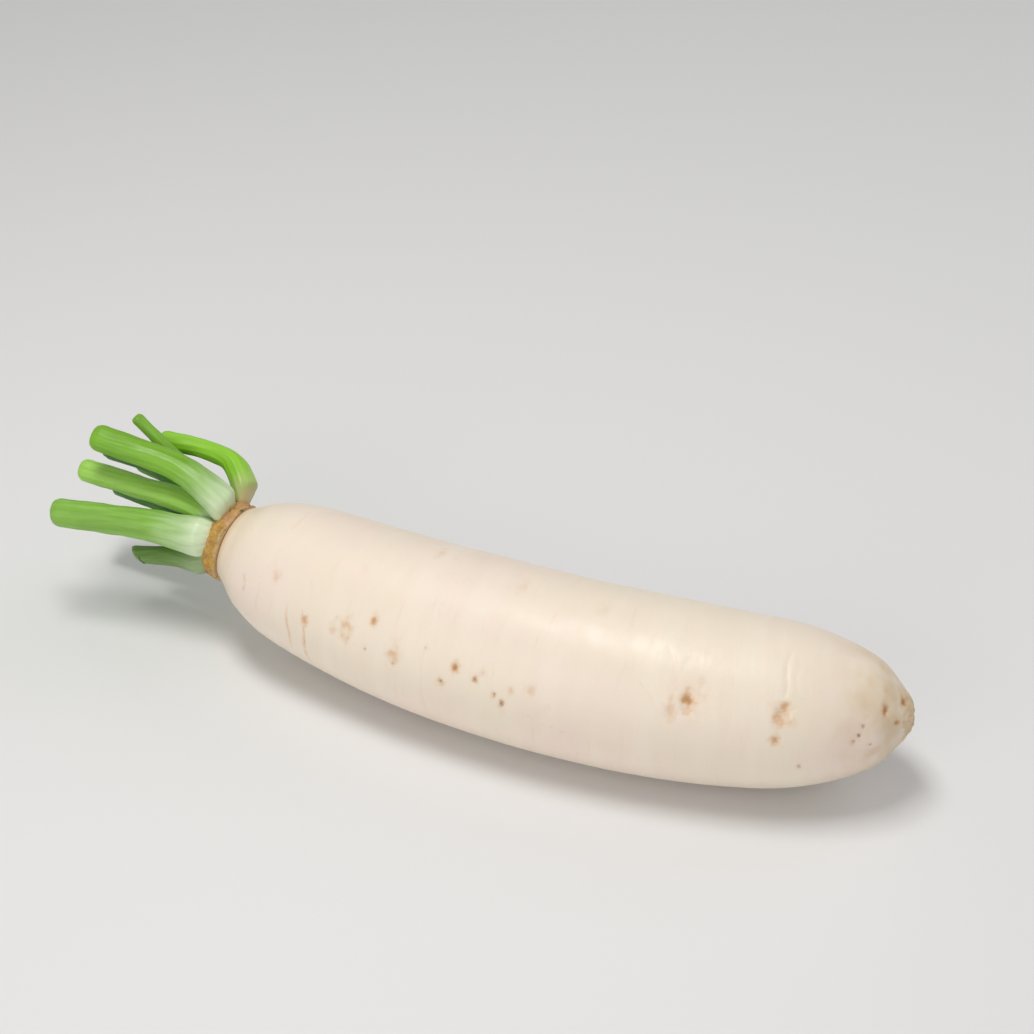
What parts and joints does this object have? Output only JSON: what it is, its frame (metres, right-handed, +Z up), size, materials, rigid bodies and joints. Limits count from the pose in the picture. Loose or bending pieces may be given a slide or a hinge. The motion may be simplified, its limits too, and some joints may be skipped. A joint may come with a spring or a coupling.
{
  "type": "long white radish",
  "caption": "Long white radish root lying on its side, with a corky crown and trimmed green leaf stalks.",
  "frame": {"origin": "bottom centre of the bounding box, on the surface that the root rests on", "axes": "+X along the root from the crown to the tip, +Z up"},
  "size_m": [0.3584, 0.0794, 0.0853],
  "materials": {
    "root_skin": "smooth cream-white skin with a soft wet sheen, faint rings and tan root scars",
    "crown_cork": "rough brown cork of old leaf scars",
    "leaf_stalk": "fresh green, pale at the base, faintly ribbed, soft gloss"
  },
  "bodies": {
    "root": {"taproot": "root_skin", "crown": "crown_cork", "stalk_front": "leaf_stalk", "stalk_top": "leaf_stalk", "stalk_arched": "leaf_stalk", "stalk_low_front": "leaf_stalk", "stalk_back": "leaf_stalk", "stalk_low_back": "leaf_stalk", "stalk_under": "leaf_stalk", "stalk_inner_front": "leaf_stalk", "stalk_thin": "leaf_stalk", "stalk_heart": "leaf_stalk", "stalk_inner_back": "leaf_stalk"}
  },
  "joints": []
}
